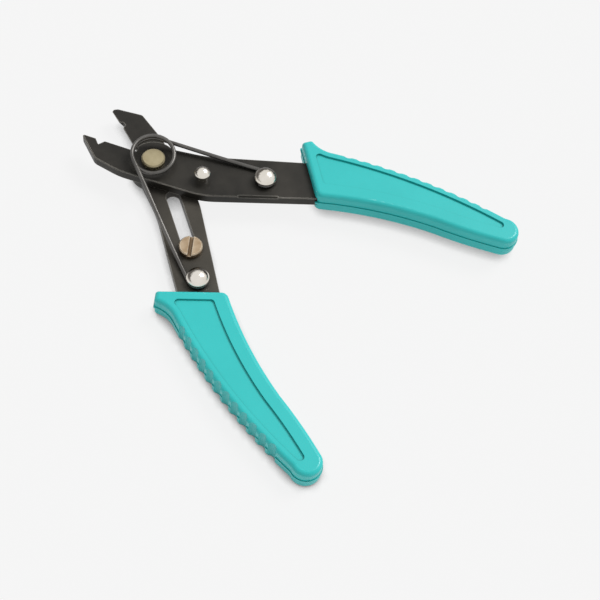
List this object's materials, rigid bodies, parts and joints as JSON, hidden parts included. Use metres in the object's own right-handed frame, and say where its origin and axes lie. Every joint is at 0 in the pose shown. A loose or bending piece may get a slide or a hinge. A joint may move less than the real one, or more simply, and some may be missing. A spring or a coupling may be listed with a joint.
{
  "type": "wire stripper",
  "caption": "Compact hand tool that strips and cuts wire: crossed levers on a rivet, notched jaws, return spring, adjustable screw stop and moulded grips.",
  "frame": {"origin": "under the middle of the tool's box, on the plane it lies on, with the jaws open", "axes": "+X from the jaws to the handles, +Y towards the front lever's handle, +Z normal to the levers, out of the front"},
  "size_m": [0.1232, 0.1042, 0.0132],
  "materials": {
    "black_steel": "blackened, oiled steel with a soft sheen",
    "grip_plastic": "satin teal moulding",
    "nickel": "nickel plated, lightly polished",
    "spring_steel": "oiled spring wire",
    "screw_brass": "dull plated brass",
    "zinc_steel": "zinc plated"
  },
  "bodies": {
    "back_half": {"back_lever": "black_steel", "back_grip": "grip_plastic", "pivot_rivet": "nickel", "back_spring_stud": "nickel", "torsion_spring": "spring_steel"},
    "front_half": {"front_lever": "black_steel", "front_grip": "grip_plastic", "front_spring_stud": "nickel", "latch_post": "nickel"},
    "stop_carriage": {"stop_washer": "zinc_steel", "stop_nut": "zinc_steel"},
    "stop_screw_body": {"stop_screw": "screw_brass"}
  },
  "joints": [
    {"name": "lever_pivot", "type": "hinge", "parent": "back_half", "child": "front_half", "pos_m": [-0.03813, 0, 0.007], "axis": [0, 0, -1], "range_deg": [-3, 35], "stiffness_Nm_per_rad": 0.33, "deforming": ["torsion_spring"]},
    {"name": "stop_slide", "type": "slide", "parent": "back_half", "child": "stop_carriage", "axis": [-0.829, 0.5592, 0], "range_m": [-0.0012, 0.0019]},
    {"name": "stop_screw_turn", "type": "hinge", "parent": "stop_carriage", "child": "stop_screw_body", "pos_m": [-0.01048, -0.01533, 0.004], "axis": [0, 0, 1], "range_deg": [-90, 180]}
  ]
}
